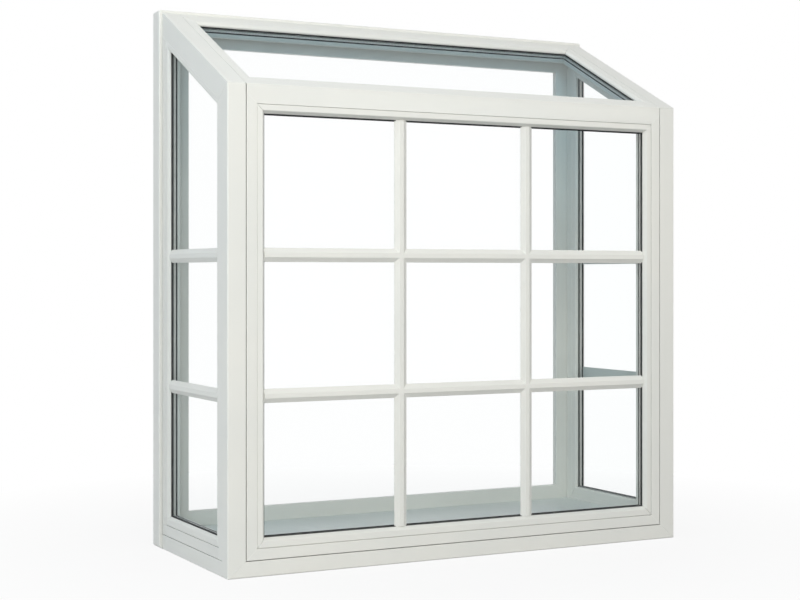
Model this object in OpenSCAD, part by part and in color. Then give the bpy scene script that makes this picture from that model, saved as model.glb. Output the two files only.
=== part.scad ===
// Garden window: a vinyl box window with a glass roof that projects from a house wall.
// X runs across the window, Y from the front to the wall, Z up. The origin is under the
// middle of the box, so the front faces -Y and the wall frame faces +Y.

/* [Box] */
// Width of the window from side to side
overall_w = 914; // [760:1:1220]
// Height of the front from the underside to the eave
front_h = 824; // [600:1:1100]
// Depth of the projecting box from the front to the wall frame
box_d = 330; // [280:1:420]
// Pitch of the glass roof in degrees
roof_pitch = 26.3; // [18:0.1:32]

/* [Frame] */
// Thickness of the front and the roof, and face width of posts, rafters and eave
frame_t = 33; // [32:1:38]
// Thickness of the side frames
side_t = 29; // [28:1:32]
// How far the corner posts reach behind the front frame
post_return = 6; // [2:1:12]
// Depth of the rafters square to the roof
rafter_d = 39; // [34:1:45]
// Height of the bottom rails
bottom_rail_h = 27; // [22:1:36]
// How far the eave rail covers the roof, measured up the slope
eave_cover = 24; // [18:1:30]

/* [Sash] */
// Face width of the sash rails and stiles
sash_w = 20; // [16:1:26]
// Face width of the rear stiles beside the wall frame
rear_stile_w = 18; // [14:1:24]
// Face width of the roof's sash stiles
roof_stile_w = 10.5; // [8:0.5:20]
// Face width of the roof's sash head
roof_sash_head_w = 14; // [8:0.5:24]
// Width that the roof's head rail keeps at its underside
head_rail_foot = 1.5; // [1:0.5:12]
// Width of the shadow groove round the front sash
groove_w = 1.5; // [1:0.1:3]
// Depth of the shadow grooves of the front and the sides
groove_d = 5; // [3:0.5:8]
// Width of the shadow grooves of the sides
side_groove_w = 1; // [0.6:0.1:3]
// Width of the shadow groove of the roof
roof_groove_w = 0.8; // [0.6:0.1:3]
// Depth of the shadow groove of the roof
roof_groove_d = 1.2; // [0.6:0.1:5]
// How far the side grooves run on into the corner posts
groove_run = 14; // [0:1:20]

/* [Beads] */
// Width of the glazing beads of the front
bead_w = 15.5; // [14:0.5:20]
// Width of the bottom glazing beads
bottom_bead_w = 17; // [14:0.5:20]
// Width of the upright and sloping beads of the sides
side_bead_w = 14.5; // [14:0.5:20]
// Width of the roof beads
roof_bead_w = 12; // [10:0.5:18]
// Width of the roof bead along the eave
eave_bead_w = 13.5; // [10:0.5:18]
// Thickness of the beads of the front
bead_t = 9; // [8:0.5:10]
// Thickness of the beads of the sides
side_bead_t = 6.5; // [6.5:0.5:8]
// Thickness of the roof beads
roof_bead_t = 8; // [7:0.5:10]
// How far the beads of the front and the sides lie below the sash
bead_drop = 0.5; // [0.2:0.1:1]
// Run of the steep bevel of the front and side beads
bead_bevel = 5; // [3:0.5:7]
// Height of the upright lip that ends this bevel
bead_lip = 1.6; // [1:0.2:2.4]
// Width of the joint line between the sash and these beads
bead_joint_w = 0.9; // [0.5:0.1:1.5]
// Depth of that joint line
bead_joint_d = 2.6; // [1:0.2:3.6]
// Run and fall of the roof beads' bevel
roof_bevel = 5; // [3:0.5:6]
// Chamfer on the room side of the inner stops
stop_chamfer = 2; // [0.5:0.5:3]
// Gap left at each mitre of the beads and stops
mitre_gap = 0.2; // [0.1:0.05:0.4]

/* [Glazing] */
// Thickness of one pane
pane_t = 3; // [3:0.5:4]
// Width of the sealed space between the panes
spacer_t = 6; // [6:0.5:8]
// Thickness of the outer gasket
outer_gasket_t = 2; // [2:0.5:3.5]
// Thickness of the inner gasket
inner_gasket_t = 1.5; // [1:0.5:2]
// How far the glass runs under the beads
glass_bite = 6; // [5:0.5:7]
// How far the outer gaskets show past the beads
gasket_lip = 1.2; // [0.8:0.1:2]

/* [Grille] */
// Width of a grille bar
bar_w = 24; // [18:1:30]
// Height of a grille bar above the glass
bar_t = 6.5; // [5:0.5:7]
// Room for the tape between a grille bar and the glass
bar_gap = 0.2; // [0.1:0.05:0.4]
// Width of the flat top of a grille bar
bar_flat = 8; // [5:1:11]
// Panes across the front
grille_columns = 3; // [2:1:4]
// Panes up the front and the sides
grille_rows = 3; // [2:1:4]

/* [Wall frame] */
// Depth of the wall frame behind the box
wall_d = 46; // [36:1:90]
// Height of the wall frame above the upper edge of the roof
head_lip = 5; // [4:1:14]
// How far the wall frame stands out past the sides of the box
rim_w = 6; // [0:1:12]
// Face width of the wall jambs
jamb_w = 61.5; // [56:0.5:76]
// Face height of the wall sill
wall_sill_h = 66; // [54:1:80]
// Face height of the wall head
wall_head_h = 69; // [54:1:80]
// Thickness of the front flange of the wall frame
flange_t = 12; // [8:1:16]
// Thickness of the outer leg of the wall jambs
leg_t = 22; // [14:1:28]
// Chamfer on the outer front edge of the wall frame
wall_chamfer = 1.5; // [0.5:0.5:3]
// Cut across the two upper corners of the wall frame
wall_corner = 3; // [0:0.5:6]
// Cut across the two lower corners of the wall frame
wall_foot = 7; // [0:0.5:10]
// Length of the taper at the rear of the wall head and jambs
taper_l = 17; // [4:1:20]
// How much the taper narrows the wall head and jambs
taper_t = 4; // [1:0.5:6]

/* [Seat] */
// Height of the top of the seat board
seat_z = 38; // [34:1:44]
// Thickness of the seat board
seat_t = 26; // [18:1:30]

/* [Hidden] */

left = -1;
right = 1;
eps = 1;

vinyl = [0.91, 0.92, 0.89];
black_rubber = [0.08, 0.08, 0.09];
clear_glass = [0.80, 0.89, 0.90, 0.35];
spacer_grey = [0.66, 0.67, 0.66];

half_w = overall_w / 2;
overall_d = box_d + wall_d;
front_y = -overall_d / 2;
roof_rise = box_d * tan(roof_pitch);
roof_run = box_d / cos(roof_pitch);
roof_top = front_h + roof_rise;
wall_h = roof_top + head_lip;
post_d = frame_t + post_return;
inner_x = half_w - frame_t;

// Depths of a glazed panel's layers below the back of its beads
d_outer_pane = outer_gasket_t;
d_spacer = d_outer_pane + pane_t;
d_inner_pane = d_spacer + spacer_t;
d_inner_gasket = d_inner_pane + pane_t;
d_stop = d_inner_gasket + inner_gasket_t;

// Outlines run anticlockwise seen from outside: bottom, right or rear, top, left or front
front_edge = [[-half_w, 0], [half_w, 0], [half_w, front_h], [-half_w, front_h]];
front_sash_out = inset(front_edge, [bottom_rail_h, frame_t, frame_t - sash_w, frame_t]);
front_sash_in = inset(front_sash_out, [sash_w, sash_w, sash_w, sash_w]);
front_clear = inset(front_sash_in, [bottom_bead_w, bead_w, bead_w, bead_w]);

side_edge = [[0, 0], [box_d, 0], [box_d, roof_top], [0, front_h]];
side_sash_out = inset(side_edge, [bottom_rail_h, 0, rafter_d, post_d]);
side_sash_in = inset(side_sash_out, [sash_w, rear_stile_w, 0, 0]);
side_clear = inset(side_sash_in, [bottom_bead_w, side_bead_w, side_bead_w, side_bead_w]);

roof_edge = [[-half_w, 0], [half_w, 0], [half_w, roof_run], [-half_w, roof_run]];
roof_head_w = head_rail_foot + frame_t * tan(roof_pitch);
roof_sash_out = inset(roof_edge, [eave_cover, frame_t, roof_head_w, frame_t]);
roof_sash_in = inset(roof_sash_out, [0, roof_stile_w, roof_sash_head_w, roof_stile_w]);
roof_clear = inset(roof_sash_in, [eave_bead_w, roof_bead_w, roof_bead_w, roof_bead_w]);

wall_half_w = half_w + rim_w;
wall_edge = [[-wall_half_w, 0], [wall_half_w, 0], [wall_half_w, wall_h], [-wall_half_w, wall_h]];
wall_widths = [wall_sill_h, jamb_w, wall_head_h, jamb_w];
wall_opening = inset(wall_edge, wall_widths);

// Unit vector along edge i of an outline
function edge_dir(pts, i) =
    let (e = pts[(i + 1) % len(pts)] - pts[i]) e / norm(e);

// Unit vector square to edge i, pointing into the outline
function edge_normal(pts, i) = let (e = edge_dir(pts, i)) [-e[1], e[0]];

// Where the lines a.x = p and b.x = q cross
function crossing(a, p, b, q) =
    let (det = a[0] * b[1] - a[1] * b[0])
    [(p * b[1] - q * a[1]) / det, (q * a[0] - p * b[0]) / det];

// Outline with each edge i moved inwards by widths[i]
function inset(pts, widths) = [
    for (i = [0 : len(pts) - 1])
        let (j = (i + len(pts) - 1) % len(pts), a = edge_normal(pts, j), b = edge_normal(pts, i))
        crossing(a, a * pts[i] + widths[j], b, b * pts[i] + widths[i])
];

// The same inset on every edge
function inset_all(pts, width) = inset(pts, [for (p = pts) width]);

// A point of the side view, from the distance up the slope and the height above the roof
function roof_point(up, above) = [
    up * cos(roof_pitch) - above * sin(roof_pitch),
    front_h + up * sin(roof_pitch) + above * cos(roof_pitch)
];

// Section of a sash rail or stile with the shadow groove along its outer edge
function sash_section(width, thick, gap, deep) = [
    [0, -thick], [0, -deep], [gap, -deep], [gap, 0], [width, 0], [width, -thick]
];

// Section of a glazing bead: a joint line, a flat, then a steep bevel down to the lip
function bead_section(width, thick) = [
    [0, -thick], [0, -bead_joint_d], [bead_joint_w, -bead_drop], [width - bead_bevel, -bead_drop],
    [width, bead_lip - thick], [width, -thick]
];

// Section of a roof bead: flush with the sash, with a bevel down to an upright edge
function roof_bead_section(width) = [
    [0, -roof_bead_t], [0, 0], [width - roof_bevel, 0], [width, -roof_bevel], [width, -roof_bead_t]
];

// Section of an inner stop between two depths, with a chamfer towards the room
function stop_section(width, outside, inside) = [
    [0, -inside], [0, -outside], [width, -outside], [width, stop_chamfer - inside],
    [width - stop_chamfer, -inside]
];

// L section of the wall frame: a front flange and an outer leg that tapers at the rear
function wall_section(width, taper) = let (leg = leg_t * width / jamb_w) [
    [taper, -wall_d], [0, -wall_d + taper_l], [0, -wall_chamfer], [wall_chamfer, 0],
    [width, 0], [width, -flange_t], [leg, -flange_t], [leg, -wall_d]
];

// Section of a grille bar: a flat top between two hollowed bevels
function bar_section() = let (w = bar_w / 2, f = bar_flat / 2) [
    [-w, bar_gap], [w, bar_gap], [w, 1.2], [w - 1.2, 1.8], [f + 2.4, bar_t - 2], [f, bar_t],
    [-f, bar_t], [-f - 2.4, bar_t - 2], [-w + 1.2, 1.8], [-w, 1.2]
];

// Drawings of the front, a side, the roof and the wall frame: x across, y up, z outwards
module on_front() { translate([0, front_y, 0]) rotate([90, 0, 0]) children(); }
module on_side(hand) {
    mirror([hand == left ? 1 : 0, 0, 0])
        translate([half_w, front_y, 0]) rotate([90, 0, 90]) children();
}
module on_roof() { translate([0, front_y, front_h]) rotate([roof_pitch, 0, 0]) children(); }
module on_wall() { translate([0, front_y + box_d, 0]) rotate([90, 0, 0]) children(); }

// Extrusion along X of an outline in the side view, from x_low
module along_eave(x_low, length) {
    translate([x_low, front_y, 0]) rotate([90, 0, 90]) linear_extrude(length) children();
}

// Flat slab of an outline between two depths
module slab(pts, z_low, z_high) {
    translate([0, 0, z_low]) linear_extrude(z_high - z_low) polygon(pts);
}

// Flat ring between two outlines and two depths
module ring(outer, inner, z_low, z_high) {
    translate([0, 0, z_low]) linear_extrude(z_high - z_low) difference() {
        polygon(outer);
        polygon(inner);
    }
}

// Bar along edge i of an outline, with its section, cut at both mitres
module bar(outer, inner, i, section, gap = 0) {
    j = (i + 1) % len(outer);
    along = edge_dir(outer, i);
    reach = 2 * wall_sill_h;
    over = 0.2;
    start = outer[i] - inner[i];
    end = outer[j] - inner[j];
    intersection() {
        slab([
            outer[i] + over * start + gap * along, outer[j] + over * end - gap * along,
            inner[j] - over * end - gap * along, inner[i] - over * start + gap * along
        ], -overall_d, eps);
        translate(outer[i]) rotate([0, 0, atan2(along[1], along[0])])
            translate([-reach, 0, 0]) rotate([90, 0, 90])
                linear_extrude(norm(outer[j] - outer[i]) + 2 * reach) polygon(section);
    }
}

// Distance between edge i of two outlines
function gap_width(outer, inner, i) = edge_normal(outer, i) * (inner[i] - outer[i]);

// Four mitred beads round the glass
module bead_set(sash_in, clear, bead) {
    for (i = [0 : 3])
        bar(sash_in, clear, i, bead_section(gap_width(sash_in, clear, i), bead), mitre_gap);
}
module roof_bead_set() {
    for (i = [0 : 3])
        bar(roof_sash_in, roof_clear, i,
            roof_bead_section(gap_width(roof_sash_in, roof_clear, i)), mitre_gap);
}

// Four mitred inner stops round the glass, in a frame of a given thickness
module stop_set(sash_in, clear, bead, thick) {
    for (i = [0 : 3]) bar(sash_in, clear, i,
        stop_section(gap_width(sash_in, clear, i), bead + d_stop, thick), mitre_gap);
}

// Gaskets of a sealed unit behind beads of a given thickness: the outer one shows past
// the beads, and the inner one ends level with the stops
module gasket_pair(clear, bead) {
    outer = inset_all(clear, -glass_bite);
    ring(outer, inset_all(clear, gasket_lip), -bead - d_outer_pane, -bead);
    ring(outer, clear, -bead - d_stop, -bead - d_inner_gasket);
}

// The two panes of a sealed unit
module pane_pair(clear, bead) {
    outline = inset_all(clear, -glass_bite);
    slab(outline, -bead - d_spacer, -bead - d_outer_pane);
    slab(outline, -bead - d_inner_gasket, -bead - d_inner_pane);
}

// The spacer between the panes of a sealed unit
module spacer_ring(clear, bead) {
    ring(inset_all(clear, 1 - glass_bite), inset_all(clear, 1), -bead - d_inner_pane, -bead - d_spacer);
}

// Grille bars on the outer pane, cut round the gasket that they butt against
module grille(clear, bead, uprights, levels) {
    glass_z = -bead - d_outer_pane;
    difference() {
        union() {
            for (x = uprights) translate([x, clear[2][1], glass_z]) rotate([90, 0, 0])
                linear_extrude(clear[2][1] - clear[1][1]) polygon(bar_section());
            for (z = levels) translate([clear[0][0], z, glass_z]) rotate([90, 0, 90])
                linear_extrude(clear[1][0] - clear[0][0]) polygon(bar_section());
        }
        ring(inset_all(clear, -eps), inset_all(clear, gasket_lip), glass_z - eps, -bead);
    }
}

bay_w = (front_clear[1][0] - front_clear[0][0]) / grille_columns;
bay_h = (front_clear[2][1] - front_clear[1][1]) / grille_rows;
grille_x = [for (i = [1 : grille_columns - 1]) front_clear[0][0] + i * bay_w];
grille_z = [for (i = [1 : grille_rows - 1]) front_clear[1][1] + i * bay_h];

module wall_member(i, taper) {
    color(vinyl) on_wall() intersection() {
        bar(wall_edge, wall_opening, i, wall_section(wall_widths[i], taper));
        slab([
            [wall_foot - wall_half_w, 0], [wall_half_w - wall_foot, 0],
            [wall_half_w, wall_foot], [wall_half_w, wall_h - wall_corner],
            [wall_half_w - wall_corner, wall_h], [wall_corner - wall_half_w, wall_h],
            [-wall_half_w, wall_h - wall_corner], [-wall_half_w, wall_foot]
        ], -wall_d, 0);
    }
}
module wall_sill() { wall_member(0, 0); }
module wall_jamb_right() { wall_member(1, taper_t); }
module wall_head() { wall_member(2, taper_t); }
module wall_jamb_left() { wall_member(3, taper_t); }

// Post: its foot is cut to the mitres of both bottom rails, its top to the rafter
module corner_post(hand) {
    color(vinyl) on_side(hand) difference() {
        intersection() {
            slab([
                [0, 0], [frame_t, bottom_rail_h], [post_d, bottom_rail_h],
                side_sash_out[3], [0, front_h]
            ], -frame_t, 0);
            translate([post_d, 0, 0]) rotate([0, -90, 0]) linear_extrude(post_d) polygon([
                [0, 0], [0, front_h + eps], [-frame_t, front_h + eps], [-frame_t, bottom_rail_h]
            ]);
        }
        translate([post_d - groove_run, bottom_rail_h, -groove_d])
            cube([groove_run + eps, side_groove_w, groove_d + eps]);
    }
}

module rafter(hand) {
    color(vinyl) on_side(hand)
        slab([[0, front_h], side_sash_out[3], side_sash_out[2], [box_d, roof_top]], -frame_t, 0);
}

// Bottom rails: mitred to the posts above them and to each other at the corners
module side_bottom_rail(hand) {
    color(vinyl) on_side(hand) intersection() {
        slab([[0, 0], [box_d, 0], [box_d, bottom_rail_h], [frame_t, bottom_rail_h]], -side_t, 0);
        rotate([-90, 0, 0]) linear_extrude(bottom_rail_h)
            polygon([[0, 0], [box_d, 0], [box_d, side_t], [side_t, side_t]]);
    }
}

module front_bottom_rail() {
    color(vinyl) on_front() intersection() {
        slab([[-half_w, 0], [half_w, 0], [inner_x, bottom_rail_h], [-inner_x, bottom_rail_h]],
            -frame_t, 0);
        rotate([-90, 0, 0]) linear_extrude(bottom_rail_h)
            polygon([[-half_w, 0], [half_w, 0], [inner_x, frame_t], [-inner_x, frame_t]]);
    }
}

// Eave rail: the front's top rail and the roof's lower rail in one section, with the
// shadow grooves of both carried over the arris at its ends
module eave_rail() {
    color(vinyl) difference() {
        intersection() {
            on_front() slab([
                front_sash_in[3], front_sash_in[2], front_sash_out[2], [inner_x, roof_top],
                [-inner_x, roof_top], front_sash_out[3]
            ], -2 * post_d, eps);
            along_eave(-half_w, overall_w) polygon([
                [0, front_h - frame_t], [frame_t, front_h - frame_t],
                roof_point(eave_cover, -frame_t), roof_point(eave_cover, 0), [0, front_h]
            ]);
        }
        for (hand = [left, right]) mirror([hand == left ? 1 : 0, 0, 0]) {
            along_eave(inner_x - groove_w, groove_w + eps) polygon([
                [-eps, front_h - frame_t - eps], [groove_d, front_h - frame_t - eps],
                [groove_d, front_h + groove_d * tan(roof_pitch) - roof_groove_d / cos(roof_pitch)],
                roof_point(0, -roof_groove_d), roof_point(-eps, eps), [-eps, front_h]
            ]);
            along_eave(inner_x - roof_groove_w, roof_groove_w + eps) polygon([
                roof_point(-eps, -roof_groove_d), roof_point(eave_cover + eps, -roof_groove_d),
                roof_point(eave_cover + eps, eps), roof_point(-eps, eps)
            ]);
        }
    }
}

module roof_head_rail() {
    color(vinyl) along_eave(-inner_x, 2 * inner_x) polygon([
        roof_point(roof_run - roof_head_w, -frame_t), [box_d, roof_top - frame_t / cos(roof_pitch)],
        [box_d, roof_top], roof_point(roof_run - roof_head_w, 0)
    ]);
}

module front_sash_member(i) {
    color(vinyl) on_front() bar(front_sash_out, front_sash_in, i,
        sash_section(sash_w, frame_t, groove_w, groove_d));
}
module front_sash_bottom_rail() { front_sash_member(0); }
module front_sash_stile_right() { front_sash_member(1); }
module front_sash_stile_left() { front_sash_member(3); }

module side_sash_member(hand, i, width) {
    color(vinyl) on_side(hand) bar(side_sash_out, side_sash_in, i,
        sash_section(width, side_t, side_groove_w, groove_d));
}
module side_sash_bottom_rail(hand) { side_sash_member(hand, 0, sash_w); }
module side_sash_stile(hand) { side_sash_member(hand, 1, rear_stile_w); }

module roof_sash_member(i, width) {
    color(vinyl) on_roof() bar(roof_sash_out, roof_sash_in, i,
        sash_section(width, frame_t, roof_groove_w, roof_groove_d));
}
module roof_sash_stile_right() { roof_sash_member(1, roof_stile_w); }
module roof_sash_head() { roof_sash_member(2, roof_sash_head_w); }
module roof_sash_stile_left() { roof_sash_member(3, roof_stile_w); }

module front_bead() { color(vinyl) on_front() bead_set(front_sash_in, front_clear, bead_t); }
module side_bead(hand) {
    color(vinyl) on_side(hand) bead_set(side_sash_in, side_clear, side_bead_t);
}
module roof_bead() { color(vinyl) on_roof() roof_bead_set(); }

module front_stop() {
    color(vinyl) on_front() stop_set(front_sash_in, front_clear, bead_t, frame_t);
}
module side_stop(hand) {
    color(vinyl) on_side(hand) stop_set(side_sash_in, side_clear, side_bead_t, side_t);
}
module roof_stop() {
    color(vinyl) on_roof() stop_set(roof_sash_in, roof_clear, roof_bead_t, frame_t);
}

module front_gaskets() { color(black_rubber) on_front() gasket_pair(front_clear, bead_t); }
module side_gaskets() {
    color(black_rubber) for (hand = [left, right])
        on_side(hand) gasket_pair(side_clear, side_bead_t);
}
module roof_gaskets() { color(black_rubber) on_roof() gasket_pair(roof_clear, roof_bead_t); }

module front_glass() { color(clear_glass) on_front() pane_pair(front_clear, bead_t); }
module side_glass(hand) { color(clear_glass) on_side(hand) pane_pair(side_clear, side_bead_t); }
module roof_glass() { color(clear_glass) on_roof() pane_pair(roof_clear, roof_bead_t); }

module front_spacer() { color(spacer_grey) on_front() spacer_ring(front_clear, bead_t); }
module side_spacers() {
    color(spacer_grey) for (hand = [left, right])
        on_side(hand) spacer_ring(side_clear, side_bead_t);
}
module roof_spacer() { color(spacer_grey) on_roof() spacer_ring(roof_clear, roof_bead_t); }

module front_grille() { color(vinyl) on_front() grille(front_clear, bead_t, grille_x, grille_z); }
module side_grille(hand) {
    color(vinyl) on_side(hand) grille(side_clear, side_bead_t, [], grille_z);
}

// Seat board: it fills the floor between the rails, notched round the corner posts
module seat_board() {
    side_x = half_w - side_t;
    color(vinyl) translate([0, front_y, seat_z - seat_t]) linear_extrude(seat_t) polygon([
        [-inner_x, frame_t], [inner_x, frame_t], [inner_x, post_d], [side_x, post_d],
        [side_x, box_d], [-side_x, box_d], [-side_x, post_d], [-inner_x, post_d]
    ]);
}

wall_head();
wall_sill();
wall_jamb_left();
wall_jamb_right();
corner_post(left);  // corner_post_left
corner_post(right);  // corner_post_right
rafter(left);  // rafter_left
rafter(right);  // rafter_right
side_bottom_rail(left);  // side_bottom_rail_left
side_bottom_rail(right);  // side_bottom_rail_right
front_bottom_rail();
eave_rail();
roof_head_rail();
front_sash_bottom_rail();
front_sash_stile_left();
front_sash_stile_right();
side_sash_bottom_rail(left);  // side_sash_bottom_rail_left
side_sash_bottom_rail(right);  // side_sash_bottom_rail_right
side_sash_stile(left);  // side_sash_stile_left
side_sash_stile(right);  // side_sash_stile_right
roof_sash_stile_left();
roof_sash_stile_right();
roof_sash_head();
front_bead();
side_bead(left);  // side_bead_left
side_bead(right);  // side_bead_right
roof_bead();
front_stop();
side_stop(left);  // side_stop_left
side_stop(right);  // side_stop_right
roof_stop();
front_gaskets();
side_gaskets();
roof_gaskets();
front_glass();
side_glass(left);  // side_glass_left
side_glass(right);  // side_glass_right
roof_glass();
front_spacer();
side_spacers();
roof_spacer();
front_grille();
side_grille(left);  // side_grille_left
side_grille(right);  // side_grille_right
seat_board();
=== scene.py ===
"""Studio scene of a garden window: finishes, eased edges, edge seals, lights and camera.

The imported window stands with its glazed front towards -Y and its wall frame towards +Y.
Every length is in metres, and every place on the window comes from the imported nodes.
"""

import logging
import math
from dataclasses import dataclass
from enum import Enum
from typing import Any, Iterable, Sequence

import bmesh
import bpy
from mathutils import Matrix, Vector


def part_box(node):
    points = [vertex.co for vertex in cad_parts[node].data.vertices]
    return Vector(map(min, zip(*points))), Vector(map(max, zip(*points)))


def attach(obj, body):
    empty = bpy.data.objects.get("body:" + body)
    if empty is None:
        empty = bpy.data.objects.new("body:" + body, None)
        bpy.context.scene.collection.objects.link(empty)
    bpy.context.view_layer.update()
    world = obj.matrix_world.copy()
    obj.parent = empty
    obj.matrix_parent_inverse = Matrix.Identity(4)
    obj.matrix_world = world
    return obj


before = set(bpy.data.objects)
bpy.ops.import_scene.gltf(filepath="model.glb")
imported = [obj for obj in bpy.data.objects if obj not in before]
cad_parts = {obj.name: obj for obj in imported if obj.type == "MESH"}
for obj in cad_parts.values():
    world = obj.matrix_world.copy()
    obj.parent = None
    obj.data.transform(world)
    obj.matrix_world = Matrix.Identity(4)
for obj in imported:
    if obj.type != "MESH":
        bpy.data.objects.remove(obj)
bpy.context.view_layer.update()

ROOT_BODY = "root"
MM = 0.001

Pair = tuple[float, float]
Triple = tuple[float, float, float]
Colour = Triple
Node = bpy.types.Node
Socket = bpy.types.NodeSocket

WHITE: Colour = (1.0, 1.0, 1.0)
WHOLE: Pair = (0.0, 1.0)
NOISE_BAND: Pair = (0.3, 0.7)  # holds most of the values of a noise

log = logging.getLogger("garden_window")


class Slot(Enum):
    """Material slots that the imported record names."""

    FRAME = "vinyl_frame"
    SASH = "vinyl_sash"
    BEAD = "vinyl_bead"
    STOP = "vinyl_stop"
    GASKET = "glazing_gasket"
    GLASS = "sealed_glass"
    SPACER = "glazing_spacer"
    GRILLE = "vinyl_grille"
    SEAT = "seat_laminate"


class Run(Enum):
    """Direction that a member was drawn in, given as the stretch of its draw lines."""

    ACROSS = (0.02, 1.0, 1.0)
    DEEP = (1.0, 0.02, 1.0)
    UPRIGHT = (1.0, 1.0, 0.02)
    SLOPE = (1.0, 0.3, 0.6)
    ROUND = (1.0, 1.0, 1.0)


@dataclass(frozen=True)
class Grain:
    """One noise pattern: waves to the metre, number of finer layers and their weight."""

    scale: float
    detail: float = 3.0
    rough: float = 0.5


@dataclass(frozen=True)
class Relief:
    """How deep a bump is in metres, and what share of it shows."""

    depth: float
    strength: float


def opaque(colour: Colour) -> tuple[float, float, float, float]:
    """Gives a plain colour its full alpha."""
    return (*colour, 1.0)


class Graph:
    """Node tree of a material, of the world or of a node group, with short calls for its nodes."""

    def __init__(
        self, owner: bpy.types.Material | bpy.types.World | bpy.types.NodeTree,
    ) -> None:
        """Starts an empty tree.

        Args:
            owner: material or world that the tree belongs to, or the tree itself.
        """
        if isinstance(owner, bpy.types.NodeTree):
            self.tree = owner
        else:
            owner.use_nodes = True
            self.tree = owner.node_tree
        self.tree.nodes.clear()

    def add(self, kind: str, inputs: dict[str | int, Any] | None = None, **settings: Any) -> Node:
        """Adds a node.

        Args:
            kind: Blender's name of the node type.
            inputs: values of or links to its input sockets, by name or number.
            settings: values of its own properties.

        Returns:
            The new node.
        """
        node = self.tree.nodes.new(kind)
        for name, value in settings.items():
            setattr(node, name, value)
        for name, value in (inputs or {}).items():
            self.feed(node.inputs[name], value)
        return node

    def feed(self, socket: Socket, value: Any) -> None:
        """Links a socket to another one, or sets its own value.

        Args:
            socket: input socket to feed.
            value: output socket or plain value.
        """
        if isinstance(value, bpy.types.NodeSocket):
            self.tree.links.new(value, socket)
        else:
            socket.default_value = value

    def noise(self, vector: Socket, grain: Grain) -> Socket:
        """Adds a noise texture.

        Args:
            vector: coordinates that it reads.
            grain: its scale and layers.

        Returns:
            Its factor socket.
        """
        return self.add("ShaderNodeTexNoise", {
            "Vector": vector, "Scale": grain.scale, "Detail": grain.detail,
            "Roughness": grain.rough,
        }).outputs["Fac"]

    def span(self, value: Socket, band: Pair, result: Pair = WHOLE) -> Socket:
        """Maps a socket's values from one band to another, held at both ends.

        Args:
            value: socket to map.
            band: the values that become the two ends of the result.
            result: the two ends of the result.

        Returns:
            The mapped value.
        """
        return self.add("ShaderNodeMapRange", {
            "Value": value, "From Min": band[0], "From Max": band[1],
            "To Min": result[0], "To Max": result[1],
        }).outputs["Result"]

    def math(self, operation: str, first: Any, second: Any = 0.0) -> Socket:
        """Adds a math node of two values.

        Args:
            operation: Blender's name of the operation.
            first: first value or socket.
            second: second value or socket.

        Returns:
            The result.
        """
        node = self.add("ShaderNodeMath", {0: first, 1: second}, operation=operation)
        return node.outputs[0]

    def dot(self, first: Any, second: Any) -> Socket:
        """Adds a dot product.

        Args:
            first: first vector or socket.
            second: second vector or socket.

        Returns:
            The product.
        """
        node = self.add("ShaderNodeVectorMath", {0: first, 1: second}, operation="DOT_PRODUCT")
        return node.outputs["Value"]

    def blend(self, factor: Any, first: Any, second: Any) -> Socket:
        """Mixes two colours.

        Args:
            factor: share of the second colour.
            first: colour or socket.
            second: colour or socket.

        Returns:
            The mixed colour.
        """
        node = self.add("ShaderNodeMix", data_type="RGBA", blend_type="MIX")
        factor_in, first_in, second_in = node.inputs[0], node.inputs[6], node.inputs[7]
        self.feed(factor_in, factor)
        for socket, value in ((first_in, first), (second_in, second)):
            self.feed(socket, opaque(value) if isinstance(value, tuple) else value)
        return node.outputs[2]

    def bump(self, height: Socket, relief: Relief, normal: Socket | None = None) -> Socket:
        """Adds a bump.

        Args:
            height: height socket from 0 to 1.
            relief: depth of the bump and the share that shows.
            normal: normal of a coarser bump that this one sits on.

        Returns:
            The bumped normal.
        """
        inputs: dict[str | int, Any] = {
            "Height": height, "Distance": relief.depth, "Strength": relief.strength,
        }
        if normal is not None:
            inputs["Normal"] = normal
        return self.add("ShaderNodeBump", inputs).outputs["Normal"]

    def object_coords(self, stretch: Sequence[float] = Run.ROUND.value) -> Socket:
        """Gives the window's own coordinates in metres.

        Args:
            stretch: scale of each axis.

        Returns:
            The coordinate socket.
        """
        coords = self.add("ShaderNodeTexCoord").outputs["Object"]
        mapping = self.add("ShaderNodeMapping", {"Vector": coords, "Scale": tuple(stretch)})
        return mapping.outputs["Vector"]

    def shown(self) -> Socket:
        """Gives 1 to rays that show a surface to the camera, in a mirror or through glass."""
        path = self.add("ShaderNodeLightPath").outputs
        direct = self.math("MAXIMUM", path["Is Camera Ray"], path["Is Glossy Ray"])
        return self.math("MAXIMUM", direct, path["Is Transmission Ray"])

    def surface(self, shader: Socket) -> None:
        """Ends a material's tree in its output."""
        self.add("ShaderNodeOutputMaterial", {"Surface": shader})

    def principled(self, inputs: dict[str | int, Any]) -> None:
        """Ends a material's tree in a Principled shader.

        Args:
            inputs: values of or links to the shader's sockets.
        """
        self.surface(self.add("ShaderNodeBsdfPrincipled", inputs).outputs["BSDF"])


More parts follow.
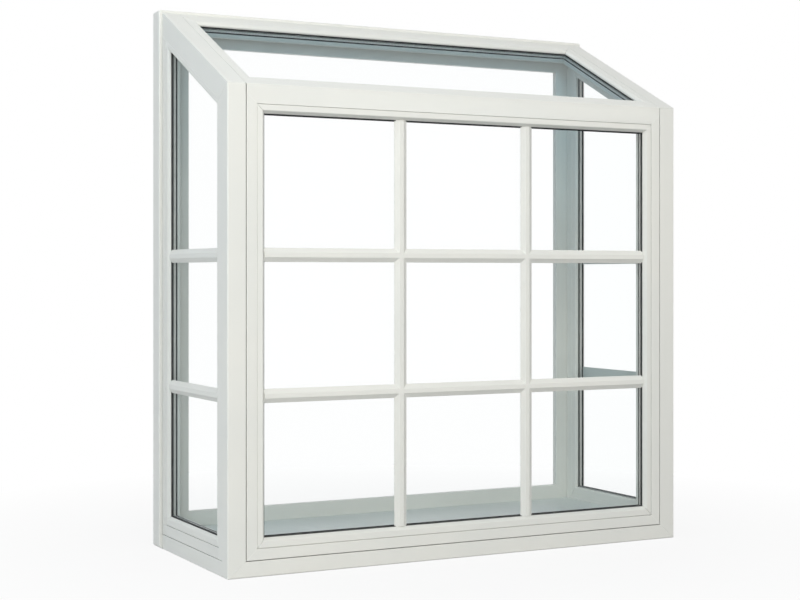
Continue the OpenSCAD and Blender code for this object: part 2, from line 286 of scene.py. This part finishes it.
@dataclass(frozen=True)
class VinylFinish:
    """White extruded vinyl: draw lines, an orange peel, painted shade in the grooves, polished
    edges with a painted highlight.
    """

    name: str
    run: Run = Run.ROUND
    shade_from_self_only: bool = False

    colour: Colour = (0.815, 0.805, 0.765)
    shade: Colour = (0.78, 0.778, 0.748)
    cloud: Grain = Grain(4.5, 4.0)
    cloud_band: Pair = (0.35, 0.65)
    mottle: Grain = Grain(70.0, 2.0)
    mottle_share: float = 0.12

    # Painted shade: the colour laid where faces meet in a hollow, found by ambient occlusion and
    # made uneven by a dust noise.
    painted_shade: Colour = (0.20, 0.20, 0.19)
    painted_shade_share: float = 0.40
    painted_shade_reach: float = 3 * MM
    painted_shade_samples: int = 8
    hollow_band: Pair = (0.15, 0.75)
    dust: Grain = Grain(220.0, 3.0, 0.6)
    dust_share: Pair = (0.6, 1.0)

    # Painted highlight: the lighter colour laid on rounded edges, which are also polished to a
    # lower roughness.
    edge: Colour = (0.91, 0.91, 0.88)
    edge_highlight_share: float = 0.9
    edge_radius: float = 1.4 * MM
    edge_samples: int = 6
    edge_turn: Pair = (0.995, 0.90)
    edge_polish: float = 0.10

    draw_lines: Grain = Grain(850.0, 2.0)
    line_relief: Relief = Relief(0.03 * MM, 0.35)
    peel: Grain = Grain(620.0, 1.0)
    peel_relief: Relief = Relief(0.05 * MM, 0.30)
    sheen: Grain = Grain(26.0)
    roughness: Pair = (0.30, 0.42)
    ior: float = 1.52
    specular: float = 0.42

    def material(self) -> bpy.types.Material:
        """Builds the material.

        Returns:
            The new material.
        """
        made = bpy.data.materials.new(self.name)
        graph = Graph(made)
        place = graph.object_coords()
        highlight_and_polish = self.edge_highlight_and_polish_mask(graph)
        gloss = graph.span(graph.noise(place, self.sheen), NOISE_BAND, self.roughness)
        polish = graph.math("MULTIPLY", highlight_and_polish, self.edge_polish)
        lines = graph.noise(graph.object_coords(self.run.value), self.draw_lines)
        relief = graph.bump(lines, self.line_relief)
        relief = graph.bump(graph.noise(place, self.peel), self.peel_relief, relief)
        graph.principled({
            # The base colour carries the painted shade in hollows and the painted highlight on
            # edges.
            "Base Color": graph.blend(highlight_and_polish, self.with_painted_shade(graph, place), self.edge),
            "Roughness": graph.math("SUBTRACT", gloss, polish),
            "Normal": relief, "IOR": self.ior, "Specular IOR Level": self.specular,
        })
        return made

    def with_painted_shade(self, graph: Graph, place: Socket) -> Socket:
        """Mixes the vinyl's two tones, with painted shade where faces meet in a hollow, made
        uneven by a dust noise.

        Args:
            graph: tree of the material.
            place: the window's own coordinates.

        Returns:
            The colour with its painted shade.
        """
        cloud = graph.span(graph.noise(place, self.cloud), self.cloud_band)
        mottle = graph.span(
            graph.noise(place, self.mottle), NOISE_BAND, (0.0, self.mottle_share))
        tone = graph.blend(cloud, self.colour, self.shade)
        tone = graph.blend(mottle, tone, self.shade)
        # Ambient occlusion finds the hollows, and the shade there is painted into the base colour.
        hollow = graph.add(
            "ShaderNodeAmbientOcclusion", {"Distance": self.painted_shade_reach},
            samples=self.painted_shade_samples, only_local=self.shade_from_self_only,
        ).outputs["AO"]
        painted_shade = graph.span(hollow, self.hollow_band, (self.painted_shade_share, 0.0))
        dust = graph.span(graph.noise(place, self.dust), NOISE_BAND, self.dust_share)
        return graph.blend(graph.math("MULTIPLY", painted_shade, dust), tone, self.painted_shade)

    def edge_highlight_and_polish_mask(self, graph: Graph) -> Socket:
        """Finds the rounded edges that get the painted highlight and the polish.

        Args:
            graph: tree of the material.

        Returns:
            The share of the painted edge highlight and of the edge polish.
        """
        rounded = graph.add(
            "ShaderNodeBevel", {"Radius": self.edge_radius}, samples=self.edge_samples,
        ).outputs["Normal"]
        true_normal = graph.add("ShaderNodeNewGeometry").outputs["Normal"]
        turn = graph.dot(rounded, true_normal)
        return graph.span(turn, self.edge_turn, (0.0, self.edge_highlight_share))


@dataclass(frozen=True)
class RubberFinish:
    """Black glazing rubber with a fine grain and a trace of dust."""

    name: str = "black_glazing_rubber"
    colour: Colour = (0.012, 0.013, 0.015)
    dusty: Colour = (0.045, 0.047, 0.048)
    dust: Grain = Grain(160.0, 4.0, 0.6)
    dust_band: Pair = (0.45, 0.75)
    dust_share: float = 0.8
    sheen: Grain = Grain(90.0)
    roughness: Pair = (0.50, 0.68)
    skin: Grain = Grain(1600.0, 2.0)
    skin_relief: Relief = Relief(0.03 * MM, 0.5)
    specular: float = 0.35

    def material(self) -> bpy.types.Material:
        """Builds the material.

        Returns:
            The new material.
        """
        made = bpy.data.materials.new(self.name)
        graph = Graph(made)
        place = graph.object_coords()
        dust = graph.span(graph.noise(place, self.dust), self.dust_band, (0.0, self.dust_share))
        graph.principled({
            "Base Color": graph.blend(dust, self.colour, self.dusty),
            "Roughness": graph.span(
                graph.noise(place, self.sheen), NOISE_BAND, self.roughness),
            "Normal": graph.bump(graph.noise(place, self.skin), self.skin_relief),
            "Specular IOR Level": self.specular,
        })
        return made


@dataclass(frozen=True)
class SpacerFinish:
    """Rolled aluminium spacer with a row of small vent slots along its face."""

    name: str = "slotted_aluminium_spacer"
    colour: Colour = (0.76, 0.75, 0.72)
    dull: Colour = (0.68, 0.675, 0.655)
    cloud: Grain = Grain(45.0)
    slot_colour: Colour = (0.10, 0.10, 0.10)
    slot_pitch: float = 3.2 * MM
    slot_band: Pair = (0.55, 0.75)
    slot_share: float = 0.25
    metallic: float = 0.2
    rolled: Grain = Grain(900.0, 2.0)
    rolled_relief: Relief = Relief(0.02 * MM, 0.4)
    roughness: Pair = (0.32, 0.50)

    def material(self) -> bpy.types.Material:
        """Builds the material.

        Returns:
            The new material.
        """
        made = bpy.data.materials.new(self.name)
        graph = Graph(made)
        place = graph.object_coords()
        axes = graph.add("ShaderNodeSeparateXYZ", {"Vector": place}).outputs
        along = graph.math("ADD", graph.math("ADD", axes["X"], axes["Y"]), axes["Z"])
        wave = graph.math("SINE", graph.math("MULTIPLY", along, math.tau / self.slot_pitch))
        slots = graph.span(wave, self.slot_band, (0.0, self.slot_share))
        rolled = graph.noise(place, self.rolled)
        cloud = graph.span(graph.noise(place, self.cloud), NOISE_BAND)
        tone = graph.blend(cloud, self.colour, self.dull)
        graph.principled({
            "Base Color": graph.blend(slots, tone, self.slot_colour),
            "Metallic": self.metallic,
            "Roughness": graph.span(rolled, NOISE_BAND, self.roughness),
            "Normal": graph.bump(rolled, self.rolled_relief),
        })
        return made


@dataclass(frozen=True)
class ButylFinish:
    """Tacky black butyl of the edge seals."""

    name: str = "black_butyl"
    colour: Colour = (0.010, 0.010, 0.011)
    bloom: Colour = (0.030, 0.031, 0.033)
    bloom_band: Pair = (0.4, 0.7)
    swell: Grain = Grain(140.0)
    swell_relief: Relief = Relief(0.15 * MM, 0.5)
    roughness: Pair = (0.35, 0.55)

    def material(self) -> bpy.types.Material:
        """Builds the material.

        Returns:
            The new material.
        """
        made = bpy.data.materials.new(self.name)
        graph = Graph(made)
        swell = graph.noise(graph.object_coords(), self.swell)
        bloom = graph.span(swell, self.bloom_band)
        graph.principled({
            "Base Color": graph.blend(bloom, self.colour, self.bloom),
            "Roughness": graph.span(swell, NOISE_BAND, self.roughness),
            "Normal": graph.bump(swell, self.swell_relief),
        })
        return made


@dataclass(frozen=True)
class GlassFinish:
    """Clear sealed glass that bends what shows through it and lets part of the light inside."""

    name: str = "clear_sealed_glass"
    seen: Colour = (0.997, 0.999, 0.999)
    passed: Colour = (0.968, 0.980, 0.978)
    ior: float = 1.50
    mirror: Colour = (0.95, 0.98, 1.0)
    mirror_share: float = 0.14
    shadow_share: float = 1.3
    film: Grain = Grain(9.0, 4.0, 0.6)
    film_band: Pair = (0.35, 0.75)
    film_roughness: Pair = (0.0, 0.05)
    wave: Grain = Grain(3.0, 1.0)
    wave_relief: Relief = Relief(0.05 * MM, 0.2)

    def material(self) -> bpy.types.Material:
        """Builds the material.

        Returns:
            The new material.
        """
        made = bpy.data.materials.new(self.name)
        graph = Graph(made)
        path = graph.add("ShaderNodeLightPath").outputs
        shadow, diffuse = path["Is Shadow Ray"], path["Is Diffuse Ray"]
        bent = graph.add("ShaderNodeBsdfRefraction", {
            "Color": opaque(self.seen), "Roughness": 0.0, "IOR": self.ior,
        })
        straight = graph.add("ShaderNodeBsdfTransparent", {"Color": opaque(self.passed)})
        clear = graph.add("ShaderNodeMixShader", {
            0: graph.math("MAXIMUM", shadow, diffuse),
            1: bent.outputs["BSDF"], 2: straight.outputs["BSDF"],
        })
        mixed = graph.add("ShaderNodeMixShader", {
            0: self.mirroring(graph, shadow, diffuse),
            1: clear.outputs["Shader"], 2: self.gloss(graph),
        })
        graph.surface(mixed.outputs["Shader"])
        return made

    def gloss(self, graph: Graph) -> Socket:
        """Builds the mirror layer, with a faint film and a slow wave in the pane.

        Args:
            graph: tree of the material.

        Returns:
            The shader socket.
        """
        place = graph.object_coords()
        return graph.add("ShaderNodeBsdfAnisotropic", {
            "Color": opaque(self.mirror),
            "Roughness": graph.span(
                graph.noise(place, self.film), self.film_band, self.film_roughness),
            "Normal": graph.bump(graph.noise(place, self.wave), self.wave_relief),
        }).outputs["BSDF"]

    def mirroring(self, graph: Graph, shadow: Socket, diffuse: Socket) -> Socket:
        """Finds how much the front of a pane mirrors; its back and soft light see none of it.

        Args:
            graph: tree of the material.
            shadow: 1 for rays that look for a lamp.
            diffuse: 1 for rays of soft light.

        Returns:
            The share of the mirror layer.
        """
        fresnel = graph.add("ShaderNodeFresnel", {"IOR": self.ior}).outputs["Fac"]
        share = graph.span(shadow, WHOLE, (self.mirror_share, self.shadow_share))
        back = graph.add("ShaderNodeNewGeometry").outputs["Backfacing"]
        unseen = graph.math("MAXIMUM", diffuse, back)
        return graph.math(
            "MULTIPLY", graph.math("MULTIPLY", fresnel, share),
            graph.math("SUBTRACT", 1.0, unseen))


@dataclass(frozen=True)
class LaminateFinish:
    """White laminate of the seat board with a fine stipple and a little dust."""

    name: str = "white_seat_laminate"
    colour: Colour = (0.76, 0.79, 0.77)
    shade: Colour = (0.70, 0.735, 0.73)
    cloud: Grain = Grain(6.0, 4.0)
    dust: Colour = (0.55, 0.55, 0.53)
    specks: Grain = Grain(380.0, 2.0)
    speck_band: Pair = (0.66, 0.74)
    speck_share: float = 0.35
    sheen: Grain = Grain(30.0)
    roughness: Pair = (0.36, 0.50)
    stipple: Grain = Grain(1100.0, 2.0)
    stipple_relief: Relief = Relief(0.05 * MM, 0.5)

    def material(self) -> bpy.types.Material:
        """Builds the material.

        Returns:
            The new material.
        """
        made = bpy.data.materials.new(self.name)
        graph = Graph(made)
        place = graph.object_coords()
        cloud = graph.span(graph.noise(place, self.cloud), NOISE_BAND)
        tone = graph.blend(cloud, self.colour, self.shade)
        specks = graph.span(
            graph.noise(place, self.specks), self.speck_band, (0.0, self.speck_share))
        graph.principled({
            "Base Color": graph.blend(specks, tone, self.dust),
            "Roughness": graph.span(
                graph.noise(place, self.sheen), NOISE_BAND, self.roughness),
            "Normal": graph.bump(graph.noise(place, self.stipple), self.stipple_relief),
        })
        return made


Finish = VinylFinish | RubberFinish | SpacerFinish | ButylFinish | GlassFinish | LaminateFinish


def box_planes() -> list[tuple[Vector, float]]:
    """Finds the outer planes of the box: left, right, front, underside and roof.

    Returns:
        The outward normal of each plane and its distance from the origin.
    """
    low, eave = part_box("corner_post_left")
    high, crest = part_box("corner_post_right")[1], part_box("rafter_left")[1]
    slope = Vector((0.0, crest.y - low.y, crest.z - eave.z)).normalized()
    roof = Vector((0.0, -slope.z, slope.y))
    return [
        (Vector((-1.0, 0.0, 0.0)), -low.x), (Vector((1.0, 0.0, 0.0)), high.x),
        (Vector((0.0, -1.0, 0.0)), -low.y), (Vector((0.0, 0.0, -1.0)), -low.z),
        (roof, roof.dot(Vector((0.0, low.y, eave.z)))),
    ]


@dataclass(frozen=True)
class EdgeEasing:
    """Rounds the long outer arrises of the box and eases a node's other sharp edges."""

    arris: float = 2.8 * MM
    small: float = 0.5 * MM
    segments: int = 3
    limit: float = math.radians(28)
    weld: float = 0.01 * MM
    reach: float = 0.05 * MM
    more_than_one: float = 1.5
    face_weight: int = 80

    def group(self) -> bpy.types.NodeTree:
        """Builds the node group that welds a node's mesh and weighs its edges.

        Returns:
            The geometry node group.
        """
        tree = bpy.data.node_groups.new("edge_weights", "GeometryNodeTree")
        for way in ("INPUT", "OUTPUT"):
            tree.interface.new_socket(
                "Geometry", in_out=way, socket_type="NodeSocketGeometry")
        graph = Graph(tree)
        welded = graph.add("GeometryNodeMergeByDistance", {
            "Geometry": graph.add("NodeGroupInput").outputs[0], "Distance": self.weld,
        })
        ends = graph.add("GeometryNodeInputMeshEdgeVertices")
        count: Any = 0.0
        for normal, distance in box_planes():
            count = graph.math("ADD", count, self.on_plane(graph, ends, normal, distance))
        outer = graph.math("GREATER_THAN", count, self.more_than_one)
        weight = graph.span(outer, WHOLE, (self.small / self.arris, 1.0))
        angle = graph.add("GeometryNodeInputMeshEdgeAngle").outputs["Unsigned Angle"]
        sharp = graph.math("GREATER_THAN", angle, self.limit)
        stored = graph.add("GeometryNodeStoreNamedAttribute", {
            "Geometry": welded.outputs["Geometry"], "Name": "bevel_weight_edge",
            "Value": graph.math("MULTIPLY", weight, sharp),
        }, data_type="FLOAT", domain="EDGE")
        smooth = graph.add("GeometryNodeSetShadeSmooth", {
            "Geometry": stored.outputs["Geometry"],
        })
        graph.add("NodeGroupOutput", {0: smooth.outputs["Geometry"]})
        return tree

    def on_plane(self, graph: Graph, ends: Node, normal: Vector, distance: float) -> Socket:
        """Tells the edges that have both ends on a plane.

        Args:
            graph: tree of the node group.
            ends: node that gives the two ends of each edge.
            normal: normal of the plane.
            distance: its distance from the origin.

        Returns:
            1 for an edge on the plane, else 0.
        """
        near = [
            graph.add("FunctionNodeCompare", {
                "A": graph.dot(ends.outputs[point], normal), "B": distance,
                "Epsilon": self.reach,
            }, operation="EQUAL").outputs["Result"]
            for point in ("Position 1", "Position 2")
        ]
        both = graph.add("FunctionNodeBooleanMath", {0: near[0], 1: near[1]}, operation="AND")
        return both.outputs[0]


class Easer:
    """Adds one easing to many nodes, with one node group between them."""

    def __init__(self, easing: EdgeEasing) -> None:
        """Keeps the easing and builds its node group."""
        self.easing = easing
        self.tree = easing.group()

    def ease(self, piece: bpy.types.Object) -> None:
        """Adds the modifiers that round a piece's edges.

        Args:
            piece: mesh object to round.
        """
        weights = piece.modifiers.new("edge_weights", "NODES")
        weights.node_group = self.tree
        bevel = piece.modifiers.new("edge_rounding", "BEVEL")
        bevel.limit_method = "WEIGHT"
        bevel.width = self.easing.arris
        bevel.segments = self.easing.segments
        bevel.use_clamp_overlap = True
        bevel.harden_normals = False
        normals = piece.modifiers.new("face_normals", "WEIGHTED_NORMAL")
        normals.weight = self.easing.face_weight
        normals.keep_sharp = False


def dress(names: Iterable[str], finish: Finish, easer: Easer | None) -> None:
    """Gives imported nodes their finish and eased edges.

    Args:
        names: nodes to dress.
        finish: finish that they share.
        easer: easing of their edges, or None for bare edges.
    """
    material = finish.material()
    for name in names:
        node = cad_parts[name]
        node.data.materials.clear()
        node.data.materials.append(material)
        if easer is not None:
            easer.ease(node)
        log.info("%s: %s", name, finish.name)


@dataclass(frozen=True)
class Members:
    """Vinyl members drawn in one direction, which share one finish."""

    title: str
    run: Run
    names: tuple[str, ...]

    def dress(self, easer: Easer, slot: Slot) -> None:
        """Dresses the members with draw lines along their own length."""
        dress(self.names, VinylFinish(self.title, run=self.run), easer)


@dataclass
class WallFrame:
    """The flanged frame that fixes the window to the wall."""

    easer: Easer
    members: tuple[Members, ...] = (
        Members("vinyl_wall_jambs", Run.UPRIGHT, ("wall_jamb_left", "wall_jamb_right")),
        Members("vinyl_wall_rails", Run.ACROSS, ("wall_head", "wall_sill")),
    )

    def build(self) -> None:
        """Dresses the jambs, the head and the sill."""
        for members in self.members:
            members.dress(self.easer, Slot.FRAME)


@dataclass
class BoxFrame:
    """Posts, rafters and rails of the projecting box."""

    easer: Easer
    members: tuple[Members, ...] = (
        Members("vinyl_posts", Run.UPRIGHT, ("corner_post_left", "corner_post_right")),
        Members("vinyl_rafters", Run.SLOPE, ("rafter_left", "rafter_right")),
        Members("vinyl_side_rails", Run.DEEP,
                ("side_bottom_rail_left", "side_bottom_rail_right")),
        Members("vinyl_cross_rails", Run.ACROSS,
                ("front_bottom_rail", "eave_rail", "roof_head_rail")),
    )

    def build(self) -> None:
        """Dresses each member."""
        for members in self.members:
            members.dress(self.easer, Slot.FRAME)


@dataclass
class Sashes:
    """Sash rails and stiles round the front, the sides and the roof."""

    easer: Easer
    members: tuple[Members, ...] = (
        Members("vinyl_sash_stiles", Run.UPRIGHT,
                ("front_sash_stile_left", "front_sash_stile_right",
                 "side_sash_stile_left", "side_sash_stile_right")),
        Members("vinyl_sash_rails", Run.ACROSS, ("front_sash_bottom_rail", "roof_sash_head")),
        Members("vinyl_side_sash_rails", Run.DEEP,
                ("side_sash_bottom_rail_left", "side_sash_bottom_rail_right")),
        Members("vinyl_roof_stiles", Run.SLOPE,
                ("roof_sash_stile_left", "roof_sash_stile_right")),
    )

    def build(self) -> None:
        """Dresses the rails and the stiles."""
        for members in self.members:
            members.dress(self.easer, Slot.SASH)


@dataclass
class BeadsAndStops:
    """Moulded beads outside the glass and stops inside it."""

    easer: Easer
    panels: tuple[str, ...] = ("front_{}", "side_{}_left", "side_{}_right", "roof_{}")

    def build(self) -> None:
        """Dresses the beads and the stops."""
        beads = [name.format("bead") for name in self.panels]
        stops = [name.format("stop") for name in self.panels]
        dress(beads, VinylFinish("vinyl_beads", shade_from_self_only=True), self.easer)
        dress(stops, VinylFinish("vinyl_stops", shade_from_self_only=True), self.easer)


@dataclass
class Grilles:
    """Applied bars on the outer panes."""

    easer: Easer
    bars: tuple[str, ...] = ("front_grille", "side_grille_left", "side_grille_right")

    def build(self) -> None:
        """Dresses the bars."""
        finish = VinylFinish("vinyl_grille_bars", shade_from_self_only=True)
        dress(self.bars, finish, self.easer)


@dataclass(frozen=True)
class Panel:
    """One glazed face of the box, with the node and the side of the box of its spacer."""

    title: str
    spacer: str
    outward: Vector
    side: int = 0
    digits: int = 6

    def corners(self) -> tuple[list[Vector], list[Vector]]:
        """Finds the inner corners of the spacer beside each pane.

        Returns:
            The corners beside the outer pane and those beside the inner pane, in order.
        """
        points = {
            tuple(round(c, self.digits) for c in vertex.co)
            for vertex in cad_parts[self.spacer].data.vertices
            if self.side == 0 or vertex.co.x * self.side > 0
        }
        vectors = [Vector(p) for p in points]
        depths = [v.dot(self.outward) for v in vectors]
        middle = (max(depths) + min(depths)) / 2
        across = self.outward.orthogonal().normalized()
        up = self.outward.cross(across)
        layers = []
        for outer in (True, False):
            layer = [v for v, d in zip(vectors, depths) if (d > middle) == outer]
            centre = sum(layer, Vector()) / len(layer)
            inner = []
            for point in layer:
                others = (v for v in layer if v is not point)
                partner = min(others, key=lambda v: (v - point).length)
                if (point - centre).length < (partner - centre).length:
                    inner.append(point)
            inner.sort(
                key=lambda v: math.atan2((v - centre).dot(up), (v - centre).dot(across)))
            layers.append(inner)
        return layers[0], layers[1]

    def square(self, along: Vector, towards: Vector) -> Vector:
        """Gives the direction in the panel's plane that is square to an edge.

        Args:
            along: direction of the edge.
            towards: rough direction of the panel's middle.

        Returns:
            The unit vector that points to the middle.
        """
        across = self.outward.cross(along).normalized()
        return across if across.dot(towards) > 0 else -across


@dataclass
class Glazing:
    """Sealed units: panes, gaskets, spacers and the butyl lines between spacer and pane."""

    easer: Easer
    seal: float = 0.9 * MM
    steps: int = 5
    front_finish: GlassFinish = GlassFinish()
    side_finish: GlassFinish = GlassFinish("coated_side_glass", passed=(0.91, 0.95, 0.96))
    roof_finish: GlassFinish = GlassFinish("tinted_roof_glass", passed=(0.77, 0.845, 0.88))

    def build(self) -> None:
        """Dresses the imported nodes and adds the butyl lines."""
        dress(("front_glass",), self.front_finish, None)
        dress(("side_glass_left", "side_glass_right"), self.side_finish, None)
        # Light from the right reaches the backs of the bars on this pane unhindered.
        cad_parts["side_glass_right"].visible_shadow = False
        dress(("roof_glass",), self.roof_finish, None)
        dress(("front_gaskets", "side_gaskets", "roof_gaskets"),
              RubberFinish(), self.easer)
        dress(("front_spacer", "side_spacers", "roof_spacer"),
              SpacerFinish(), self.easer)
        butyl = ButylFinish().material()
        for panel in self.panels():
            self.butyl_line(panel, butyl)

    @staticmethod
    def panels() -> tuple[Panel, ...]:
        """Lists the glazed faces of the box."""
        (left, _), (right, _), (front, _), _, (roof, _) = box_planes()
        return (
            Panel("front", "front_spacer", front),
            Panel("side_left", "side_spacers", left, -1),
            Panel("side_right", "side_spacers", right, 1),
            Panel("roof", "roof_spacer", roof),
        )

    def butyl_line(self, panel: Panel, material: bpy.types.Material) -> None:
        """Adds the quarter-round seals along both edges of a panel's spacer.

        Args:
            panel: glazed face that the seals belong to.
            material: finish of the butyl.
        """
        shape = bmesh.new()
        for corners, way in zip(panel.corners(), (-1, 1)):
            self.add_seal(shape, panel, corners, way)
        bmesh.ops.recalc_face_normals(shape, faces=shape.faces)
        for face in shape.faces:
            face.smooth = True
        mesh = bpy.data.meshes.new(f"butyl_{panel.title}")
        shape.to_mesh(mesh)
        shape.free()
        mesh.materials.append(material)
        piece = bpy.data.objects.new(f"butyl_{panel.title}", mesh)
        bpy.context.scene.collection.objects.link(piece)
        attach(piece, ROOT_BODY)
        log.info("%s: %s", piece.name, material.name)

    def add_seal(
        self, shape: bmesh.types.BMesh, panel: Panel, corners: Sequence[Vector], way: int,
    ) -> None:
        """Adds one closed seal, mitred at the corners, to a mesh under construction.

        Args:
            shape: mesh under construction.
            panel: glazed face that the seal belongs to.
            corners: corners of the spacer that it runs through, in order.
            way: 1 for a seal that swells outward, -1 for one that swells inward.
        """
        centre = sum(corners, Vector()) / len(corners)
        rings = []
        for i, corner in enumerate(corners):
            before, after = corners[i - 1], corners[(i + 1) % len(corners)]
            first, second = (corner - before).normalized(), (after - corner).normalized()
            inward = [panel.square(edge, centre - corner) for edge in (first, second)]
            mitre = (inward[0] + inward[1]).normalized()
            mitre = mitre / mitre.dot(inward[0])
            ring = [shape.verts.new(corner)]
            for step in range(self.steps + 1):
                angle = math.pi / 2 * step / self.steps
                ring.append(shape.verts.new(
                    corner + mitre * self.seal * math.cos(angle)
                    + panel.outward * way * self.seal * math.sin(angle)))
            rings.append(ring)
        for i, ring in enumerate(rings):
            following = rings[(i + 1) % len(rings)]
            for j, vertex in enumerate(ring):
                k = (j + 1) % len(ring)
                shape.faces.new((vertex, ring[k], following[k], following[j]))


@dataclass
class Seat:
    """The seat board on the floor of the box."""

    easer: Easer

    def build(self) -> None:
        """Dresses the board."""
        dress(("seat_board",), LaminateFinish(), self.easer)


@dataclass(frozen=True)
class Wall:
    """One soft pale side of the studio, strongest along its own direction."""

    direction: Triple
    colour: Colour
    level: float


@dataclass(frozen=True)
class Lamp:
    """A soft square lamp: its place, the point it is turned to, its side, watts and colour."""

    name: str
    place: Triple
    target: Triple
    size: float
    power: float
    colour: Colour

    def hang(self) -> None:
        """Hangs the lamp in the studio."""
        light = bpy.data.lights.new(self.name, "AREA")
        light.size, light.energy, light.color = self.size, self.power, self.colour
        lamp = bpy.data.objects.new(self.name, light)
        lamp.location = self.place
        aim = Vector(self.target) - Vector(self.place)
        lamp.rotation_euler = aim.to_track_quat("-Z", "Y").to_euler()
        bpy.context.scene.collection.objects.link(lamp)


@dataclass
class Studio:
    """Pale floor, white surround, soft lamps and the camera."""

    floor_span: float = 60.0
    floor_cells: int = 8
    floor_paint: tuple[Colour, Colour] = ((0.60, 0.60, 0.60), (0.64, 0.64, 0.64))
    floor_grain: Grain = Grain(14.0)
    floor_white: float = 0.90
    fade: Pair = (0.45, 1.2)
    walls: tuple[Wall, ...] = (
        Wall((0.0, 0.0, 1.0), (0.93, 0.98, 1.0), 0.02),
        Wall((0.0, -1.0, 0.0), (0.98, 1.0, 1.0), 0.53),
        Wall((-1.0, 0.0, 0.0), (0.90, 0.97, 1.0), 0.40),
        Wall((1.0, 0.0, 0.0), (0.93, 0.98, 1.0), 0.16),
        Wall((0.0, 1.0, 0.0), (0.93, 0.98, 1.0), 0.26),
    )
    lamps: tuple[Lamp, ...] = (
        Lamp("key", (-0.5, -2.1, 2.6), (0.0, -0.1, 0.5), 1.3, 35.0, (0.98, 1.0, 0.985)),
        Lamp("low_key", (-1.5, -1.5, 0.9), (0.0, -0.1, 0.5), 1.0, 8.8, (1.0, 0.975, 0.90)),
        Lamp("side", (-2.6, -0.2, 1.9), (0.0, 0.0, 0.55), 1.3, 17.0, (0.76, 0.90, 1.0)),
        Lamp("fill", (2.0, -3.2, 0.9), (0.0, 0.0, 0.4), 2.4, 13.5, (1.0, 0.93, 0.80)),
    )
    lens: float = 70.73
    sensor: float = 36.0
    clip: Pair = (0.05, 200.0)
    shift: float = -0.0324
    yaw: float = -27.372
    eye: Triple = (-1.398, -2.6265, 0.506)

    def build(self) -> None:
        """Builds the floor, the surround, the lamps and the camera."""
        self.floor()
        self.world()
        for lamp in self.lamps:
            lamp.hang()
        self.camera()

    def floor(self) -> None:
        """Lays the white floor, which keeps the window's shadow."""
        mesh = bpy.data.meshes.new("studio_floor")
        shape = bmesh.new()
        bmesh.ops.create_grid(
            shape, x_segments=self.floor_cells, y_segments=self.floor_cells,
            size=self.floor_span)
        shape.to_mesh(mesh)
        shape.free()
        mesh.materials.append(self.floor_material())
        floor = bpy.data.objects.new("studio_floor", mesh)
        bpy.context.scene.collection.objects.link(floor)

    def floor_material(self) -> bpy.types.Material:
        """Builds the floor's pale paint, which shows as white away from the window.

        Returns:
            The new material.
        """
        made = bpy.data.materials.new("white_studio_floor")
        graph = Graph(made)
        place = graph.object_coords()
        grain = graph.span(graph.noise(place, self.floor_grain), NOISE_BAND)
        lit = graph.add("ShaderNodeBsdfDiffuse", {"Color": graph.blend(grain, *self.floor_paint)})
        white = graph.add("ShaderNodeEmission", {"Color": opaque(WHITE), "Strength": 1.0})
        away = graph.add("ShaderNodeVectorMath", {0: place}, operation="LENGTH")
        share = graph.span(away.outputs["Value"], self.fade, (self.floor_white, 1.0))
        mixed = graph.add("ShaderNodeMixShader", {
            0: graph.math("MULTIPLY", graph.shown(), share),
            1: lit.outputs["BSDF"], 2: white.outputs["Emission"],
        })
        graph.surface(mixed.outputs["Shader"])
        return made

    def world(self) -> None:
        """Surrounds the window with the soft light of the studio's sides, which show white."""
        world = bpy.data.worlds.new("studio_surround")
        bpy.context.scene.world = world
        graph = Graph(world)
        shown = graph.shown()
        lit = graph.math("SUBTRACT", 1.0, shown)
        direction = graph.add("ShaderNodeTexCoord").outputs["Generated"]
        light = graph.add("ShaderNodeBackground", {"Color": opaque(WHITE), "Strength": shown})
        for wall in self.walls:
            facing = graph.math("MAXIMUM", graph.dot(direction, wall.direction), 0.0)
            share = graph.math("MULTIPLY", facing, lit)
            soft = graph.add("ShaderNodeBackground", {
                "Color": opaque(wall.colour),
                "Strength": graph.math("MULTIPLY", share, wall.level),
            })
            light = graph.add("ShaderNodeAddShader", {0: light.outputs[0], 1: soft.outputs[0]})
        graph.add("ShaderNodeOutputWorld", {"Surface": light.outputs[0]})

    def camera(self) -> None:
        """Sets up the camera, level and turned to the right of the front."""
        data = bpy.data.cameras.new("studio_camera")
        data.lens, data.sensor_width, data.shift_y = self.lens, self.sensor, self.shift
        data.clip_start, data.clip_end = self.clip
        camera = bpy.data.objects.new("studio_camera", data)
        camera.location = self.eye
        camera.rotation_euler = (math.radians(90), 0.0, math.radians(self.yaw))
        bpy.context.scene.collection.objects.link(camera)
        bpy.context.scene.camera = camera


def main() -> None:
    """Builds the studio and dresses the window, sub-assembly by sub-assembly."""
    logging.basicConfig(level=logging.INFO, format="%(message)s")
    bpy.context.scene.view_settings.view_transform = "Standard"
    plain = Easer(EdgeEasing())
    moulded = Easer(EdgeEasing(small=0.7 * MM, limit=math.radians(9)))
    thin = Easer(EdgeEasing(small=0.25 * MM))
    for part in (
        Studio(), WallFrame(plain), BoxFrame(plain), Sashes(plain), BeadsAndStops(moulded),
        Grilles(moulded), Glazing(thin), Seat(plain),
    ):
        part.build()
        log.info("%s is done", type(part).__name__)


if __name__ == "__main__":
    main()
